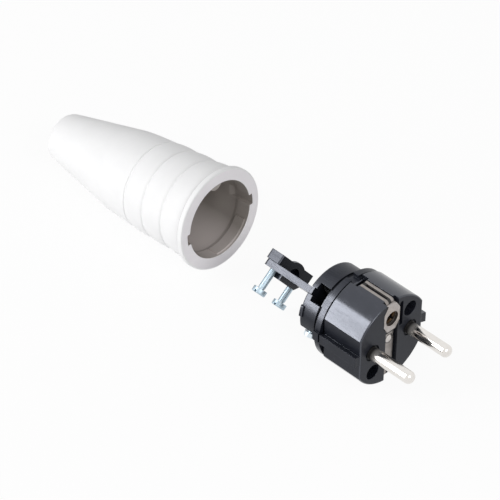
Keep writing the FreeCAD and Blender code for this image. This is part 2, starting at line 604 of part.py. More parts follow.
def clamp_nuts():
    """Square nuts held in the strap's pockets."""
    nuts = []
    half = NUT_FLATS / 2
    for side in (-1, 1):
        z = side * CLAMP_SCREW_SPACING / 2
        y = -STRAP_FAR - NUT_T - NUT_SINK + SEAT_GAP
        nut = Part.makeBox(2 * half, NUT_T - SEAT_GAP, 2 * half, Vector(SCREW_X - half, y, z - half))
        hole = Part.makeCylinder(CLAMP_SCREW_R + SEAT_GAP, NUT_T + 2 * PAST,
                                 Vector(SCREW_X, y - PAST, z), Vector(0, 1, 0))
        nuts.append(in_clamp_frame(nut.cut(hole)))
    return Part.makeCompound(nuts)


def clamp_screws():
    """The two slotted screws of the clamp, run well out, with their heads below the arm."""
    screws = []
    for side in (-1, 1):
        screw = slotted_screw(CLAMP_SCREW_LEN, CLAMP_SCREW_R, CLAMP_HEAD_R, CLAMP_HEAD_H)
        screw.rotate(Vector(0, 0, 0), Vector(1, 0, 0), 90)
        screw.translate(Vector(SCREW_X, -CLAMP_HEAD_AT, side * CLAMP_SCREW_SPACING / 2))
        screws.append(in_clamp_frame(screw))
    return Part.makeCompound(screws)


def at(a, r):
    """Point of the sleeve's outline: distance behind its mouth and radius."""
    return Vector(-a, 0, r)


def revolve(edges):
    """Closed outline spun round the sleeve's axis."""
    return Part.Face(Part.Wire(edges)).revolve(Vector(0, 0, 0), Vector(1, 0, 0), 360)


def lines(points):
    """Straight edges through (distance, radius) corners."""
    return [Part.makeLine(at(*p), at(*q)) for p, q in zip(points, points[1:])]


def back_curve():
    """Smooth outline from the last ring line to the cone."""
    start, r = BAND_ENDS[-1]
    points = [at(start + RING_HALF, r)] + [at(*p) for p in BACK_CURVE] + [at(CONE_AT, CONE_R)]
    slope = (CONE_R - SLEEVE_END_R) / (SLEEVE_LEN - CONE_AT)
    curve = Part.BSplineCurve()
    curve.interpolate(Points=points, InitialTangent=Vector(-1, 0, 0), FinalTangent=Vector(-1, 0, -slope))
    return curve


def sleeve_outside():
    """Flange, three swelling bands parted by ring lines, and a long cone with a rounded end."""
    neck, r = BAND_ENDS[0]
    edges = lines([(0, 0), (0, FLANGE_R), (FLANGE_T, FLANGE_R), (neck, r)])
    last = (neck, r)
    for (a0, r0), (a1, r1) in zip(BAND_ENDS, BAND_ENDS[1:]):
        middle = at((a0 + a1) / 2, (r0 + r1) / 2 + BAND_SWELL)
        edges.append(Part.Arc(at(*last), middle, at(a1 - RING_HALF, r1)).toShape())
        edges += lines([(a1 - RING_HALF, r1), (a1, r1 - RING_DEPTH), (a1 + RING_HALF, r1)])
        last = (a1 + RING_HALF, r1)
    edges.append(back_curve().toShape())
    edges += lines([(CONE_AT, CONE_R), (SLEEVE_LEN, SLEEVE_END_R), (SLEEVE_LEN, 0), (0, 0)])
    outside = revolve(edges)
    for x, radius in ((0, FLANGE_FRONT_ROUND), (FLANGE_T, FLANGE_BACK_ROUND), (SLEEVE_LEN, SLEEVE_END_ROUND)):
        rim = [e for e in outside.Edges if abs(e.CenterOfMass.x + x) < 0.01 and e.Closed
               and abs(e.BoundBox.ZMax - (SLEEVE_END_R if x == SLEEVE_LEN else FLANGE_R)) < 0.01]
        outside = outside.makeFillet(radius, rim)
    return outside


def sleeve_inside():
    """Mouth, locking undercut, clamp room, cone and cord inlet."""
    under = LIP_LEN + UNDERCUT_LEN
    wide = LIP_R + LIP_ROUND
    return revolve(lines([(-PAST, 0), (-PAST, wide), (0, wide), (LIP_ROUND, LIP_R), (LIP_LEN, LIP_R),
                          (LIP_LEN, UNDERCUT_R), (under, UNDERCUT_R),
                          (under + UNDERCUT_R - BORE_R, BORE_R), (BORE_STRAIGHT_TO, BORE_R),
                          (BORE_TAIL_AT, BORE_TAIL_R), (BORE_TAIL_AT + BORE_TAIL_R - INLET_R, INLET_R),
                          (SLEEVE_LEN + PAST, INLET_R), (SLEEVE_LEN + PAST, 0), (-PAST, 0)]))


def rubber_sleeve():
    sleeve = sleeve_outside().cut(sleeve_inside())
    notch = block(-PAST, LIP_LEN + UNDERCUT_LEN, -NOTCH_R, 0, -NOTCH_WIDTH / 2, NOTCH_WIDTH / 2)
    notch = notch.common(rod(-PAST, LIP_LEN + UNDERCUT_LEN, NOTCH_R))
    sleeve = sleeve.cut([notch, opposite(notch)])
    pad = sector(LIP_R - PAD_RISE, LIP_R + PAST, PAD_FRONT, PAD_FRONT + PAD_LEN, PAD_FROM_ANGLE, PAD_TO_ANGLE)
    half = KEY_SPAN_ANGLE / 2
    key = sector(LIP_R - KEY_RISE, LIP_R + PAST, KEY_FRONT, KEY_FRONT + KEY_LEN, -half, half)
    sleeve = sleeve.fuse([pad, opposite(pad), key]).removeSplitter()
    return laid(sleeve)


def laid(sleeve):
    """The sleeve put down on its flange and on the swell behind its last ring line."""
    back = [p for p in back_curve().discretize(200)]
    pitch = min(math.atan((FLANGE_R - p.z) / (-p.x - FLANGE_T + FLANGE_BACK_ROUND)) for p in back)
    sleeve.rotate(Vector(0, 0, 0), Vector(0, 1, 0), -math.degrees(pitch))
    sleeve.rotate(Vector(0, 0, 0), Vector(0, 0, 1), SLEEVE_YAW_ANGLE)
    low = -FLANGE_R * math.cos(pitch) - (FLANGE_T - FLANGE_BACK_ROUND) * math.sin(pitch)
    sleeve.translate(Vector(-SLEEVE_BEHIND, SLEEVE_MOUTH_Y, FLOOR_Z - low))
    return sleeve


def main():
    os.makedirs("parts", exist_ok=True)
    earth_screw = terminal_screw(0, EARTH_Z, EARTH_SCREW_ANGLE, EARTH_SCREW_REACH, EARTH_SCREW_HEAD_R)
    pin_screw = terminal_screw(-PIN_Y, 0, PIN_SCREW_ANGLE, TERMINAL_SCREW_REACH, TERMINAL_SCREW_HEAD_R)
    first_terminal = terminal(-PIN_Y, 0, PIN_TAIL_R, PIN_SCREW_ANGLE)
    pieces = {
        "rubber_sleeve": rubber_sleeve(),
        "contact_body": contact_body(),
        "rear_housing": rear_housing(),
        "pin_first": contact_pin(-1),
        "pin_second": contact_pin(1),
        "terminal_first": first_terminal,
        "terminal_second": opposite(first_terminal),
        "pin_terminal_screws": Part.makeCompound([pin_screw, opposite(pin_screw)]),
        "earth_strip": earth_strip(),
        "socket_plate": socket_plate(),
        "earth_socket": earth_socket(),
        "earth_terminal": terminal(0, EARTH_Z, SOCKET_TAIL_R, EARTH_SCREW_ANGLE),
        "earth_terminal_screw": earth_screw,
        "strip_rivet": strip_rivet(),
        "body_screws": body_screws(),
        "clamp_strap": clamp_strap(),
        "clamp_nuts": clamp_nuts(),
        "clamp_screws": clamp_screws(),
    }
    for name, shape in pieces.items():
        shape.exportStep("parts/" + name + ".step")
        print(name, len(shape.Solids), shape.isValid(), round(shape.Volume, 2))


main()
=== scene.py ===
import json
import math

import bpy
from mathutils import Matrix, Vector


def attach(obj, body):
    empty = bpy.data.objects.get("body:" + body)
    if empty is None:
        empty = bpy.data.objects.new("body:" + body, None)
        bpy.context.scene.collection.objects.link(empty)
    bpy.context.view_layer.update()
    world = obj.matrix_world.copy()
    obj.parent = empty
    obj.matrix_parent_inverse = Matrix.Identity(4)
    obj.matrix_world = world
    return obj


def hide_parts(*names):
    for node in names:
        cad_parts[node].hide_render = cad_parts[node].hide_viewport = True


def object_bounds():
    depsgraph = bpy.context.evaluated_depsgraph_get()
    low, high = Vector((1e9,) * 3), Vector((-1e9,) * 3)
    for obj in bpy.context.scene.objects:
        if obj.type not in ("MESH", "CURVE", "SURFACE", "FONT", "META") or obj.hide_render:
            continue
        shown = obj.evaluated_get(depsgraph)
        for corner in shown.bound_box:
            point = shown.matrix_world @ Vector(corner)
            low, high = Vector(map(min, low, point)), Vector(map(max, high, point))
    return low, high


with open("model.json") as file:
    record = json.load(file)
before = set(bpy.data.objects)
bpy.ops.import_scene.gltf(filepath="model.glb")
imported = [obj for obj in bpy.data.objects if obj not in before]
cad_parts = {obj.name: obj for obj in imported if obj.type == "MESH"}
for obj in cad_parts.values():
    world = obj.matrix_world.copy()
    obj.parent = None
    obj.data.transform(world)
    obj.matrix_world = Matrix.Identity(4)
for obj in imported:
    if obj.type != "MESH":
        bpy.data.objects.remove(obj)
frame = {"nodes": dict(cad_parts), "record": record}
solid_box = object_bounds()
node = frame["nodes"]
MM = 0.001


# Studio.
# The opened plug lies on a plain white table under two broad soft lamps.
# One lamp stands behind and to the left, the weaker one in front of the pins.

class Shade:
    """An output of a material's node; sums and products of them add the material's maths."""

    def __init__(self, tree, socket=None):
        self.tree = tree
        self.socket = socket

    def node(self, kind, settings=None, sockets=None, out=0):
        """One output of a new node, whose settings and inputs are given by name."""
        made = self.tree.nodes.new("ShaderNode" + kind)
        for name, value in (settings or {}).items():
            setattr(made, name, value)
        for name, value in (sockets or {}).items():
            if isinstance(value, Shade):
                self.tree.links.new(value.socket, made.inputs[name])
            else:
                made.inputs[name].default_value = value
        return Shade(self.tree, made.outputs[out])

    def maths(self, operation, first, second=0.0, clamp=False):
        settings = {"operation": operation, "use_clamp": clamp}
        return self.node("Math", settings, {0: first, 1: second})

    def __add__(self, other):
        return self.maths("ADD", self, other)

    def __radd__(self, other):
        return self.maths("ADD", other, self)

    def __sub__(self, other):
        return self.maths("SUBTRACT", self, other)

    def __rsub__(self, other):
        return self.maths("SUBTRACT", other, self)

    def __mul__(self, other):
        return self.maths("MULTIPLY", self, other)

    def __rmul__(self, other):
        return self.maths("MULTIPLY", other, self)

    def __pow__(self, other):
        return self.maths("POWER", self, other)

    def above(self, low, high):
        """0 below one level, 1 above another, straight between them."""
        sockets = {"Value": self, "From Min": low, "From Max": high}
        return self.node("MapRange", {"clamp": True}, sockets)

    def blend(self, first, second):
        """First colour where this is 0, second where it is 1."""
        colour_a, colour_b, colour_result = 6, 7, 2
        sockets = {"Factor": self, colour_a: first, colour_b: second}
        return self.node("Mix", {"data_type": "RGBA"}, sockets, out=colour_result)


def colour(red, green, blue):
    return (red, green, blue, 1.0)


def open_tree(owner):
    """An emptied node tree and its output node."""
    owner.use_nodes = True
    tree = owner.node_tree
    tree.nodes.clear()
    kind = "World" if isinstance(owner, bpy.types.World) else "Material"
    return Shade(tree), tree.nodes.new("ShaderNodeOutput" + kind)


def close_tree(surface, output):
    """Makes a surface what the tree shows."""
    surface.tree.links.new(surface.socket, output.inputs["Surface"])


CAMERA_AT = (404.18, -467.32, 568.82)
CAMERA_RIGHT = (0.70090, 0.71325, 0.00126)
CAMERA_UP = (-0.46466, 0.45528, 0.75948)
FOCAL_PIXELS = 2400
PHOTO_PIXELS = 500
SENSOR_WIDTH = 36.0
NEAREST = 0.01
TABLE_HALF = 4.0
TABLE_WHITE = 0.9
TABLE_GLOW = 0.93
SKY_WHITE = 1.0
SKY_LIGHT = 0.42

lens = bpy.data.cameras.new("camera")
lens.sensor_width = SENSOR_WIDTH
lens.lens = lens.sensor_width * FOCAL_PIXELS / PHOTO_PIXELS
lens.clip_start = NEAREST
camera = bpy.data.objects.new("camera", lens)
right = Vector(CAMERA_RIGHT).normalized()
up = Vector(CAMERA_UP)
up = (up - up.dot(right) * right).normalized()
turn = Matrix((right, up, right.cross(up))).transposed()
camera.matrix_world = Matrix.Translation(Vector(CAMERA_AT) * MM) @ turn.to_4x4()
bpy.context.scene.collection.objects.link(camera)
bpy.context.scene.camera = camera
bpy.context.scene.view_settings.view_transform = "Standard"


def seen_ray(shade):
    """1 for what is seen straight, in a mirror or through glass; 0 for light that falls on things."""
    path = shade.node("LightPath")
    outputs = path.socket.node.outputs
    names = ("Is Camera Ray", "Is Glossy Ray", "Is Transmission Ray")
    rays = [Shade(shade.tree, outputs[name]) for name in names]
    return shade.maths("ADD", rays[0], rays[1] + rays[2], clamp=True)


world = bpy.data.worlds.new("studio")
bpy.context.scene.world = world
shade, output = open_tree(world)
seen = seen_ray(shade)
strength = seen * (SKY_WHITE - SKY_LIGHT) + SKY_LIGHT
close_tree(shade.node("Background", {}, {"Color": colour(1, 1, 1), "Strength": strength}), output)

table_finish = bpy.data.materials.new("white table")
shade, output = open_tree(table_finish)
seen = seen_ray(shade)
matt = shade.node("BsdfDiffuse", {}, {"Color": colour(TABLE_WHITE, TABLE_WHITE, TABLE_WHITE)})
glow = shade.node("Emission", {}, {"Color": colour(1, 1, 1), "Strength": 1.0})
close_tree(shade.node("MixShader", {}, {0: seen * TABLE_GLOW, 1: matt, 2: glow}), output)
table_top = bpy.data.meshes.new("table")
corners = [(x * TABLE_HALF, y * TABLE_HALF, solid_box[0].z)
           for x, y in ((-1, -1), (1, -1), (1, 1), (-1, 1))]
table_top.from_pydata(corners, [], [(0, 1, 2, 3)])
table_top.materials.append(table_finish)
table = bpy.data.objects.new("table", table_top)
bpy.context.scene.collection.objects.link(table)


def soft_lamp(name, direction, lean, distance, wide, high, power):
    """Soft oblong lamp that faces the middle of the object, its long side along the lean."""
    lamp = bpy.data.lights.new(name, "AREA")
    lamp.shape = "RECTANGLE"
    lamp.size = wide
    lamp.size_y = high
    lamp.energy = power
    holder = bpy.data.objects.new(name, lamp)
    towards = Vector(direction).normalized()
    long_side = (Vector(lean) - Vector(lean).dot(towards) * towards).normalized()
    facing = Matrix((long_side.cross(towards), long_side, towards)).transposed().to_4x4()
    middle = (solid_box[0] + solid_box[1]) / 2
    holder.matrix_world = Matrix.Translation(middle + towards * distance) @ facing
    bpy.context.scene.collection.objects.link(holder)


soft_lamp("left lamp", direction=(-0.527, -0.738, 0.424), lean=(0.0, 0.5, 0.866),
          distance=1.17, wide=0.28, high=1.1, power=8.2)
soft_lamp("front lamp", direction=(0.74, -0.25, 0.62), lean=(0.0, 0.0, 1.0),
          distance=1.6, wide=0.9, high=0.7, power=7.6)


# Contact body and rear housing.
# Black half-gloss thermoset, each moulded in one piece; the body holds the pins, the housing the wires.
# Edges are a little rounded by the mould, and the face is scuffed by use.

PLASTIC = (0.0085, 0.0098, 0.0145)
PLASTIC_PALE = (0.020, 0.022, 0.030)
PLASTIC_EDGE = 0.22 * MM
PLASTIC_TINT = (0.84, 0.88, 1.0)
PLASTIC_RELIEF = 0.05 * MM
FLAT_FROM, FLAT_FULL = 0.93, 0.985


def speckle(shade, size_mm, detail=2.0, stretch=(1.0, 1.0, 1.0)):
    """Cloudy pattern fixed to the piece, with blots of about the given size."""
    place = shade.node("TexCoord", out="Object")
    scaled = shade.node("Mapping", {}, {"Vector": place, "Scale": stretch})
    sockets = {"Vector": scaled, "Scale": 1.0 / (size_mm * MM), "Detail": detail, "Roughness": 0.6}
    return shade.node("TexNoise", {}, sockets)


def rounded(shade, radius, height, strength, distance):
    """Normal with softened edges and a fine relief."""
    edge = shade.node("Bevel", {"samples": 4}, {"Radius": radius})
    sockets = {"Height": height, "Strength": strength, "Distance": distance, "Normal": edge}
    return shade.node("Bump", {}, sockets)


def set_finish(finish, *names):
    """Puts one finish on whole carried-over pieces."""
    for name in names:
        node[name].data.materials.clear()
        node[name].data.materials.append(finish)


def axes_of(shade, coordinate, scale=1.0):
    """The three parts of a coordinate of the piece itself."""
    whole = shade.node("TexCoord", out=coordinate)
    parts = shade.node("SeparateXYZ", {}, {"Vector": whole}).socket.node.outputs
    return [Shade(shade.tree, part) * scale for part in parts]


def plastic(name, gloss, roughness, dull_gloss, dull_roughness, dust, dull_top=0.0):
    """Polished on the round and sloping sides, duller on top and on flats that look ahead or sideways."""
    finish = bpy.data.materials.new(name)
    shade, output = open_tree(finish)
    cloud = speckle(shade, size_mm=5.0, detail=3.0)
    grain = speckle(shade, size_mm=0.35)
    scratch = speckle(shade, size_mm=1.1, detail=3.0, stretch=(0.25, 1.0, 2.5))
    pale = cloud.above(0.35, 0.75) * 0.5 + scratch.above(0.56, 0.72) * dust
    base = shade.maths("ADD", pale, 0.0, clamp=True).blend(colour(*PLASTIC), colour(*PLASTIC_PALE))
    surfaces = []
    for level, rough, relief in ((gloss, roughness, 0.12), (dull_gloss, dull_roughness, 0.3)):
        surfaces.append(shade.node("BsdfPrincipled", {}, {
            "Base Color": base,
            "Roughness": rough + cloud * 0.06 + scratch.above(0.5, 0.8) * 0.12,
            "Specular IOR Level": level,
            "Specular Tint": colour(*PLASTIC_TINT),
            "Normal": rounded(shade, PLASTIC_EDGE, grain + scratch * 0.6, relief, PLASTIC_RELIEF),
        }))
    facing = axes_of(shade, "Normal")
    ahead = shade.maths("ABSOLUTE", facing[0]).above(FLAT_FROM, FLAT_FULL)
    sideways = shade.maths("ABSOLUTE", facing[1]).above(FLAT_FROM, FLAT_FULL)
    flat = shade.maths("MAXIMUM", ahead, sideways)
    if dull_top:
        upwards = facing[1].above(-0.5, -0.15) * facing[2].above(0.2, 0.5) * dull_top
        flat = shade.maths("MAXIMUM", flat, upwards)
    close_tree(shade.node("MixShader", {}, {0: flat, 1: surfaces[0], 2: surfaces[1]}), output)
    return finish


set_finish(plastic("black moulding", gloss=0.95, roughness=0.13,
                   dull_gloss=0.22, dull_roughness=0.36, dust=0.8), "contact_body")
set_finish(plastic("black housing moulding", gloss=0.95, roughness=0.22,
                   dull_gloss=0.24, dull_roughness=0.36, dust=0.6, dull_top=0.8), "rear_housing")


# Contact pins.
# Turned brass with a polished nickel plating, pushed in from behind and held by a shoulder.
# Use has left faint clouds on the plating; round the foot of each a black band is painted, grime and
# painted shade.

NICKEL = (0.80, 0.775, 0.745)
NICKEL_DULL = (0.62, 0.585, 0.54)
GRIME_AND_PAINTED_SHADE = (0.012, 0.011, 0.011)
GRIME_AND_SHADE_ROUGH = 0.3
PLATED_RELIEF = 0.02 * MM
FOOT_FROM, FOOT_END = 0.9, 4.2


def plated(name, bright, dull, roughness, wear, streak=(1.0, 1.0, 1.0), edge=0.08 * MM,
           grime_and_shade_at=None):
    """Plated metal with clouded wear, and a black mark of grime and painted shade where the mask gives 1.
    """
    finish = bpy.data.materials.new(name)
    shade, output = open_tree(finish)
    cloud = speckle(shade, size_mm=2.2, detail=3.0)
    fine = speckle(shade, size_mm=0.25, stretch=streak)
    worn = cloud.above(0.42, 0.75) * wear
    tone = worn.blend(colour(*bright), colour(*dull))
    metal = 1.0
    rough = roughness + cloud.above(0.3, 0.8) * 0.08 + fine * 0.05
    # The mask lays a black, matt mark: grime and painted shade.
    if grime_and_shade_at:
        grime_and_shade = grime_and_shade_at(*axes_of(shade, "Object", 1.0 / MM))
        tone = grime_and_shade.blend(tone, colour(*GRIME_AND_PAINTED_SHADE))
        metal = 1.0 - grime_and_shade
        rough = rough + grime_and_shade * GRIME_AND_SHADE_ROUGH
    surface = shade.node("BsdfPrincipled", {}, {
        "Base Color": tone,
        "Metallic": metal,
        "Roughness": rough,
        "Normal": rounded(shade, edge, fine, strength=0.10, distance=PLATED_RELIEF),
    })
    close_tree(surface, output)
    return finish


def pin_foot(x, y, z):
    """Mask of the black band of grime and painted shade: 1 at the face, 0 a few millimetres out along the
    pin; places are in millimetres.
    """
    return 1.0 - x.above(FOOT_FROM, FOOT_END)


# The pins get a black band round the foot, grime and painted shade.
set_finish(plated("polished nickel", NICKEL, NICKEL_DULL, roughness=0.07, wear=0.35,
                  streak=(6.0, 1.0, 1.0), grime_and_shade_at=pin_foot), "pin_first", "pin_second")


# Terminals and their screws.
# Turned brass posts on the tails of the pins and of the earth socket, drilled for the wire.
# Each has a zinc-plated slotted screw that bites on the wire.

BRASS = (0.74, 0.56, 0.30)
BRASS_DULL = (0.45, 0.33, 0.19)
ZINC = (0.72, 0.79, 0.84)
ZINC_DULL = (0.42, 0.50, 0.57)
ZINC_PAINTED_SHADE = (0.10, 0.105, 0.11)
ZINC_PAINTED_DEEP_SHADE = (0.05, 0.052, 0.055)
set_finish(plated("turned brass", BRASS, BRASS_DULL, roughness=0.22, wear=0.7,
                  streak=(5.0, 1.0, 1.0)), "terminal_first", "terminal_second", "earth_terminal")
set_finish(plated("bright zinc", ZINC, ZINC_DULL, roughness=0.20, wear=0.4), "pin_terminal_screws")
# The earth terminal's screw is coloured dark, as painted shade.
set_finish(plated("zinc in painted shade", ZINC_PAINTED_SHADE, ZINC_PAINTED_DEEP_SHADE, roughness=0.45, wear=0.5),
           "earth_terminal_screw")


# Earth contacts.
# A riveted nickel-plated strip runs down the face and back along both sides.
# A punched plate frames the socket, and the slit brass tube behind it takes the outlet's earth pin.

STRIP = (0.34, 0.315, 0.30)
STRIP_DULL = (0.20, 0.18, 0.165)
PLATE = (0.44, 0.41, 0.395)
RIVET = (0.60, 0.57, 0.55)
TUBE = (0.30, 0.19, 0.10)
TUBE_DULL = (0.12, 0.075, 0.04)
SHEET_EDGE = 0.1 * MM
FACE_FROM, FACE_FULL = -2.6, -2.4
PLATE_FOOT = (2.55, 3.5)
SLIT_HALF, SLIT_HALF_FADED = 0.62, 0.70
SLIT = (-14.4, -1.2)
SLIT_OUT, SLIT_OUT_FULL = 13.4, 13.6
RIVET_RIM = (1.55, 1.95)
RIVET_RIM_DEPTH = 0.8


def within(value, low, high, fade_in=0.1, fade_out=0.1):
    """1 between two levels, 0 outside them."""
    return value.above(low, low + fade_in) * (1.0 - value.above(high, high + fade_out))


def painted_shade_in_strip_gaps(x, y, z):
    """Painted shade in the strip's slit and on past its ends, under the plate's foot and round the rivet;
    places in millimetres.
    """
    on_face = x.above(FACE_FROM, FACE_FULL)
    foot = on_face * within(z, *PLATE_FOOT)
    beside = x.maths("ABSOLUTE", y).above(SLIT_HALF, SLIT_HALF_FADED)
    on_side = x.maths("ABSOLUTE", z).above(SLIT_OUT, SLIT_OUT_FULL)
    slit = (1.0 - beside) * within(x, *SLIT) * on_side
    rim = on_face * within((y * y + z * z) ** 0.5, *RIVET_RIM, fade_in=0.05)
    return x.maths("MAXIMUM", foot, x.maths("MAXIMUM", slit, rim * RIVET_RIM_DEPTH))


# The strip gets painted shade in its slit, under the plate's foot and round the rivet.
set_finish(plated("pressed nickel strip", STRIP, STRIP_DULL, roughness=0.30, wear=0.7,
                  streak=(1.0, 6.0, 1.0), edge=SHEET_EDGE, grime_and_shade_at=painted_shade_in_strip_gaps), "earth_strip")
set_finish(plated("punched nickel plate", PLATE, STRIP_DULL, roughness=0.30, wear=0.4,
                  streak=(1.0, 1.0, 5.0), edge=SHEET_EDGE), "socket_plate")
set_finish(plated("nickel rivet", RIVET, STRIP, roughness=0.26, wear=0.4, edge=SHEET_EDGE),
           "strip_rivet")
set_finish(plated("brown brass tube", TUBE, TUBE_DULL, roughness=0.30, wear=0.9,
                  streak=(5.0, 1.0, 1.0)), "earth_socket")


# Body screws.
# Two zinc-plated cheese-head screws, sunk deep in the face, pull the body on to the rear housing.
# Little light reaches them, so their colour is painted darker: painted shade.

ZINC_DEEP_PAINTED_SHADE = (0.20, 0.22, 0.25)
set_finish(plated("sunk zinc screw in painted shade", ZINC_DULL, ZINC_DEEP_PAINTED_SHADE, roughness=0.32, wear=0.6), "body_screws")


# Cord clamp.
# Two long slotted screws draw a moulded strap with two square nuts towards the housing's arm.
# The strap is the same black plastic, a little duller; the nuts and screws are zinc-plated steel.

CLAMP_ANGLE = math.radians(38.5)
CLAMP_SCREW_X = -51.2
CLAMP_SCREW_SIDE = 8.1
CLAMP_SEAT = 10.55
SHANK_LEN = 14.45
THREAD_CREST = 1.35
THREAD_ROOT = 1.29
THREAD_PITCH = 0.5
THREAD_STEPS = 28
THREAD_OUTLINE = ((0.0, THREAD_ROOT), (0.12, THREAD_ROOT), (0.23, THREAD_CREST),
                  (0.30, THREAD_CREST), (0.41, THREAD_ROOT))
THREAD_RUN_IN, THREAD_RUN_OUT = 0.6, 0.8
HEAD_R = 2.7
HEAD_HIGH = 2.1
HEAD_EDGE = 0.35
SLOT_HALF = 0.4
SLOT_DEEP = 1.0
HEAD_STEPS = 48
HEAD_LEVELS = ((0.0, HEAD_HIGH - SLOT_DEEP), (0.0, HEAD_HIGH - HEAD_EDGE), (0.1, HEAD_HIGH - 0.13),
               (HEAD_EDGE, HEAD_HIGH))
UNDER_EDGE = 0.1
MOON_STEPS = 24
CLAMP_ZINC = (0.46, 0.56, 0.63)


def thread(points, faces):
    """Helical thread from under the head (z = 0) to the tip."""
    start = len(points)
    turns = SHANK_LEN / THREAD_PITCH
    count = int(turns * THREAD_STEPS)
    for i in range(count + 1):
        angle = 2 * math.pi * i / THREAD_STEPS
        along = i / THREAD_STEPS * THREAD_PITCH
        taper = min(1.0, along / THREAD_RUN_IN, (SHANK_LEN - along) / THREAD_RUN_OUT)
        for step, radius in THREAD_OUTLINE:
            depth = min(SHANK_LEN, along + step)
            r = THREAD_ROOT + (radius - THREAD_ROOT) * max(0.0, taper)
            points.append((r * math.cos(angle), r * math.sin(angle), -depth))
    wide = len(THREAD_OUTLINE)
    for i in range(count):
        for j in range(wide - 1):
            a = start + i * wide + j
            faces.append((a, a + 1, a + wide + 1, a + wide))
        if i + THREAD_STEPS <= count:
            a = start + i * wide + wide - 1
            b = start + (i + THREAD_STEPS) * wide
            if i + THREAD_STEPS + 1 <= count:
                faces.append((a, b, b + wide, a + wide))
    tip = len(points)
    points.append((0.0, 0.0, -SHANK_LEN))
    for k in range(THREAD_STEPS):
        a = start + (count - k) * wide + wide - 1
        faces.append((a, a - wide, tip))


def ring(points, radius, z):
    """Adds a level circle and gives the numbers of its points."""
    first = len(points)
    for k in range(HEAD_STEPS):
        angle = 2 * math.pi * k / HEAD_STEPS
        points.append((radius * math.cos(angle), radius * math.sin(angle), z))
    return [first + k for k in range(HEAD_STEPS)]


def skin(faces, low, high):
    """Joins two closed loops of points with a band of faces."""
    for k in range(len(low)):
        nxt = (k + 1) % len(low)
        faces.append((low[k], low[nxt], high[nxt], high[k]))


def slotted_head(points, faces):
    """Cheese head above z = 0: a disc, and on it two half moons that leave the slot between them."""
    under = ring(points, HEAD_R - UNDER_EDGE, 0.0)
    low = ring(points, HEAD_R, UNDER_EDGE)
    mid = ring(points, HEAD_R, HEAD_HIGH - SLOT_DEEP)
    faces.append(tuple(reversed(under)))
    skin(faces, under, low)
    skin(faces, low, mid)
    faces.append(tuple(mid))
    for side in (1, -1):
        levels = []
        for inset, z in HEAD_LEVELS:
            r = HEAD_R - inset
            reach = math.acos(SLOT_HALF / r)
            first = len(points)
            for k in range(MOON_STEPS + 1):
                angle = reach * (2 * k / MOON_STEPS - 1)
                points.append((side * r * math.cos(angle), side * r * math.sin(angle), z))
            levels.append(list(range(first, len(points))))
        for low, high in zip(levels, levels[1:]):
            skin(faces, low, high)
        faces.append(tuple(levels[-1]))


def make_piece(name, points, faces, place, finish, smooth_angle):
    """A drawn piece from points in millimetres, smooth but for the edges sharper than the angle."""
    mesh = bpy.data.meshes.new(name)
    mesh.from_pydata([Vector(p) * MM for p in points], [], faces)
    mesh.transform(place)
    mesh.validate()
    mesh.shade_smooth()
    mesh.set_sharp_from_angle(angle=math.radians(smooth_angle))
    mesh.materials.append(finish)
    piece = bpy.data.objects.new(name, mesh)
    bpy.context.scene.collection.objects.link(piece)
    return piece


set_finish(plastic("black strap moulding", gloss=0.75, roughness=0.26,
                   dull_gloss=0.10, dull_roughness=0.45, dust=0.3), "clamp_strap")
set_finish(plated("zinc nut", ZINC, ZINC_DULL, roughness=0.30, wear=0.5), "clamp_nuts")

clamp_zinc = plated("zinc clamp screw", CLAMP_ZINC, ZINC_DULL, roughness=0.40, wear=0.35,
                    edge=0.05 * MM)
for name, side in (("clamp_screw_high", 1), ("clamp_screw_low", -1)):
    points, faces = [], []
    thread(points, faces)
    slotted_head(points, faces)
    stand = Matrix.Rotation(math.pi / 2, 4, "X")
    seat = Matrix.Translation(Vector((CLAMP_SCREW_X, -CLAMP_SEAT, side * CLAMP_SCREW_SIDE)) * MM)
    lean = Matrix.Rotation(CLAMP_ANGLE, 4, "X")
    screw = make_piece(name, points, faces, lean @ seat @ stand, clamp_zinc, smooth_angle=40)
    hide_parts("clamp_screws")
    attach(screw, "cord_clamp")


# Rubber sleeve.
# Matte white rubber: a round flange, bands parted by ring lines and a long tapering tail.
# Inside the mouth a lip with two notches, two raised pads and a key locks it on the housing.

MOUTH_TO_INLET = 81.6
FLANGE_R = 20.4
FLANGE_T = 2.5
FLANGE_EDGE = 0.6
FLANGE_BACK_ROUND = 0.5
FLANGE_CORNER = 0.3
BANDS = ((2.5, 18.85), (13.4, 18.2), (23.6, 17.95), (33.4, 17.6))
BAND_SWELL = 0.4
RING_HALF = 0.35
RING_DEEP = 0.35
RING_FLANK = 0.12
RING_FLANK_DEEP = RING_DEEP * 0.85
BACK = ((33.75, 17.6), (40.0, 17.3), (47.0, 16.7), (54.0, 15.45))
TAIL_SLOPE = -5.9 / 31.0
SLEEVE_LEN = 85.0
SLEEVE_END_R = 9.55
SLEEVE_END_ROUND = 2.9
SLEEVE_END_DROP = 2.45
LIP_R = 15.6
LIP_ROUND = 0.2
LIP_LEN = 6.2
UNDERCUT_R = 16.0
UNDERCUT_END = 9.4
UNDERCUT_FADE = 8.0
LIP_FADE = 1.2
NOTCH_R = 17.1
BORE_R = 15.4
BORE_STRAIGHT = 36.0
BORE_TAIL = (76.0, 7.2)
INLET_R = 5.0
INLET_ROUND = 0.4
NOTCH_CENTRES = (90.0, 270.0)
NOTCH_HALF_ANGLE = 8.0
PAD_ANGLES = ((172.0, 239.0), (352.0, 419.0))
PAD_RISE = 0.5
PAD_LEN = (1.0, 5.6)
KEY_HALF_ANGLE = 10.5
KEY_RISE = 2.2
KEY_LEN = (0.7, 2.9)
FACE_STEPS = 12
SEAM_FACES = 3
COLUMN_STEP = 2.0
KEY_COLUMN_STEP = 0.95


def straight(first, last, steps):
    """Points along a line, without its last one."""
    (a0, r0), (a1, r1) = first, last
    return [(a0 + (a1 - a0) * k / steps, r0 + (r1 - r0) * k / steps) for k in range(steps)]


